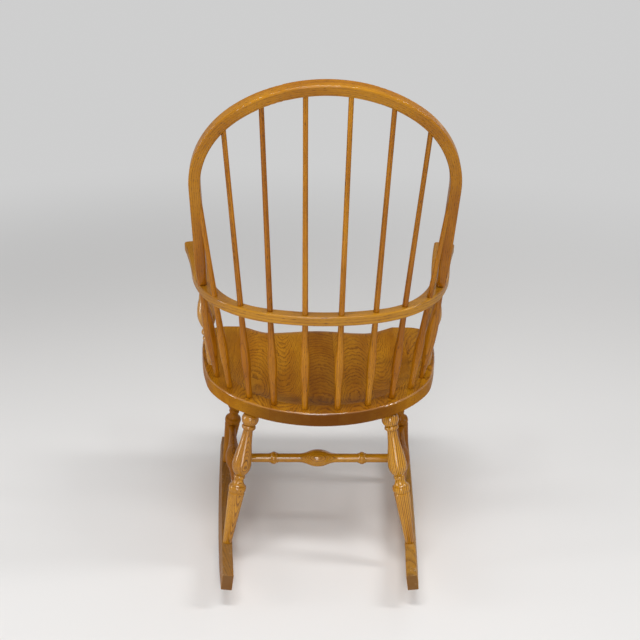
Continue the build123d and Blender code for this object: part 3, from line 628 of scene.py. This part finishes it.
def leaning_plane(y, z, angle):
    """The matrix of a plane through (0, y, z): its X is the chair's, its Y rises to the back."""
    return Matrix.Translation((0, y, z)) @ Matrix.Rotation(math.radians(angle), 4, "X")


# The planes and bows that the bent pieces and the seat are cut in, as in the solids
HOOP_PLANE = leaning_plane(y=0.036, z=0.6322, angle=90 - 22.2)
HOOP_BOW = {
    "Crown_Centre": 0.210,
    "Crown_Radius": 0.2765,
    "Crown_Turn": math.radians(36.4),
    "Shoulder_Radius": 0.2138,
    "Leg_Turn": math.radians(90),
}
RAIL_PLANE = leaning_plane(y=0.150, z=0.623, angle=-4.6)
RAIL_BOW = {
    "Crown_Centre": -0.4164,
    "Crown_Radius": 0.437,
    "Crown_Turn": math.radians(14.8),
    "Shoulder_Radius": 0.187,
    "Leg_Turn": math.radians(79.5),
}
SEAT_PLANE = leaning_plane(y=0.150, z=0.3949, angle=-1.7)

# The hoop is redder and deeper towards its feet, and the arms are duller at the hands and darker
# there by painted shade
HOOP_PITH, RAIL_PITH = (0.045, -0.06, 3.0), (-0.07, -0.05, 5.0)
HOOP_LOOK = {
    "Golden": (Z, 0.64, 0.95, 0.0, 0.55),
    "Grain": 0.26,
    "Depth": (Z, 0.64, 0.82, 0.32, 0.18),
    "Lacquer": 0.24,
}
HAND_LENGTH, ARM_LENGTH = 0.1, 0.24
hand_front = min(vertex.co.y for vertex in NODES["arm_rail"].data.vertices)
behind_hand = (Y, hand_front + HAND_LENGTH, hand_front + ARM_LENGTH)
RAIL_LOOK = {
    "Golden": 1.0,
    "Grain": 0.34,
    # Painted shade: the arms darken towards the hands
    "Depth": (*behind_hand, 0.42, 0.22),
    "Lacquer": (*behind_hand, 0.08, 0.35),
}
SEAT_LOOK = {"Golden": 0.45, "Grain": 0.56, "Depth": 0.09}
dress("back_hoop", bent_oak("oak_back_hoop", HOOP_PLANE, HOOP_BOW, HOOP_PITH, HOOP_LOOK))
dress("arm_rail", bent_oak("oak_arm_rail", RAIL_PLANE, RAIL_BOW, RAIL_PITH, RAIL_LOOK, hand_front))
dress("seat", boarded_oak("oak_seat", SEAT_PLANE, SEAT_LOOK))


# Studio

CAMERA_PLACE = (0.0630, 2.08315, 1.4628)
CAMERA_YAW, CAMERA_PITCH, CAMERA_ROLL = -0.0295, 0.4194, 0.0184
CAMERA_LENS, CAMERA_SENSOR = 59.02, 36.0
FLOOR_PALE = (0.82, 0.81, 0.80, 1)
FLOOR_ROUGHNESS, FLOOR_SHEEN = 0.9, 0.2
FLOOR_REACH = 12.0
FLOOR_FADE_START, FLOOR_FADE_END = 1.2, 3.2
BACKDROP_PALE = (0.62, 0.62, 0.62, 1)
WHITE, SOFT_LIGHT = (1, 1, 1, 1), 0.24

# The lamps: where each stands, what it points at, its width and height, its watts
LAMPS = {
    "behind_camera": ((0.25, 3.3, 2.1), (0, 0, 0.55), (1.3, 0.9), 38),
    "low_window": ((0.1, 3.2, 0.75), (0, 0, 0.35), (0.9, 0.9), 18),
    "ceiling": ((0.1, 0.85, 2.9), (0, 0, 0.5), (1.8, 0.35), 34),
    "right_window": ((-2.2, 0.2, 2.6), (0, 0, 0.7), (0.35, 1.1), 22),
    "left_window": ((2.6, 0.4, 0.9), (0, 0, 0.6), (0.4, 1.2), 18),
    "front_window": ((-1.4, -2.8, 1.8), (0, 0, 0.6), (1.4, 1.2), 10),
}


def add_object(name, data):
    made = bpy.data.objects.new(name, data)
    bpy.context.scene.collection.objects.link(made)
    return made


def add_camera():
    level = math.cos(CAMERA_PITCH)
    ahead = (math.sin(CAMERA_YAW) * level, -math.cos(CAMERA_YAW) * level, -math.sin(CAMERA_PITCH))
    look = Vector(ahead)
    across = look.cross(Vector((0, 0, 1))).normalized()
    upright = Matrix((across, across.cross(look), -look)).transposed()
    turned = Matrix.Rotation(-CAMERA_ROLL, 3, look) @ upright
    camera = add_object("camera", bpy.data.cameras.new("camera"))
    camera.data.lens = CAMERA_LENS
    camera.data.sensor_width = CAMERA_SENSOR
    camera.matrix_world = Matrix.Translation(CAMERA_PLACE) @ turned.to_4x4()
    bpy.context.scene.camera = camera


def is_seen(tree):
    """1 for rays that look at something, straight, in a reflection or through glass, else 0."""
    path = tree.add("ShaderNodeLightPath").outputs
    seen = tree.math("MAXIMUM", path["Is Camera Ray"], path["Is Glossy Ray"])
    return tree.math("MAXIMUM", seen, path["Is Transmission Ray"])


def add_floor():
    """A pale floor that takes the shadow and fades into the backdrop's colour further out."""
    mesh = bpy.data.meshes.new("floor")
    reach = FLOOR_REACH
    corners = [(-reach, -reach, 0), (reach, -reach, 0), (reach, reach, 0), (-reach, reach, 0)]
    mesh.from_pydata(corners, [], [(0, 1, 2, 3)])
    floor = add_object("floor", mesh)
    material, tree = new_material("floor")
    surface = tree.add("ShaderNodeBsdfPrincipled")
    surface.inputs["Base Color"].default_value = FLOOR_PALE
    surface.inputs["Roughness"].default_value = FLOOR_ROUGHNESS
    surface.inputs["Specular IOR Level"].default_value = FLOOR_SHEEN
    away = tree.vector_math("LENGTH", tree.object_place())
    fade = tree.ramp(away, FLOOR_FADE_START, FLOOR_FADE_END)
    pale = tree.add("ShaderNodeEmission")
    pale.inputs["Color"].default_value = BACKDROP_PALE
    both = tree.add("ShaderNodeMixShader")
    tree.feed(tree.math("MULTIPLY", fade, is_seen(tree)), both.inputs[0])
    tree.feed(surface.outputs["BSDF"], both.inputs[1])
    tree.feed(pale.outputs[0], both.inputs[2])
    tree.feed(both.outputs[0], tree.add("ShaderNodeOutputMaterial").inputs["Surface"])
    mesh.materials.append(material)


def add_lamp(name, place, target, size, watts):
    lamp = add_object(name, bpy.data.lights.new(name, "AREA"))
    lamp.data.shape = "RECTANGLE"
    lamp.data.size, lamp.data.size_y = size
    lamp.data.energy = watts
    lamp.location = place
    lamp.rotation_euler = (Vector(target) - Vector(place)).to_track_quat("-Z", "Y").to_euler()


def add_world():
    """Soft light from all round, seen as the backdrop's colour."""
    world = bpy.data.worlds.new("studio")
    world.use_nodes = True
    tree = Tree(world.node_tree)
    tree.nodes.clear()
    soft = tree.add("ShaderNodeBackground")
    soft.inputs["Color"].default_value = WHITE
    soft.inputs["Strength"].default_value = SOFT_LIGHT
    seen = tree.add("ShaderNodeBackground")
    seen.inputs["Color"].default_value = BACKDROP_PALE
    both = tree.add("ShaderNodeMixShader")
    tree.feed(is_seen(tree), both.inputs[0])
    tree.feed(soft.outputs[0], both.inputs[1])
    tree.feed(seen.outputs[0], both.inputs[2])
    tree.feed(both.outputs[0], tree.add("ShaderNodeOutputWorld").inputs[0])
    bpy.context.scene.world = world


add_camera()
add_floor()
add_world()
for name, row in LAMPS.items():
    add_lamp(name, *row)
bpy.context.scene.view_settings.view_transform = "Standard"
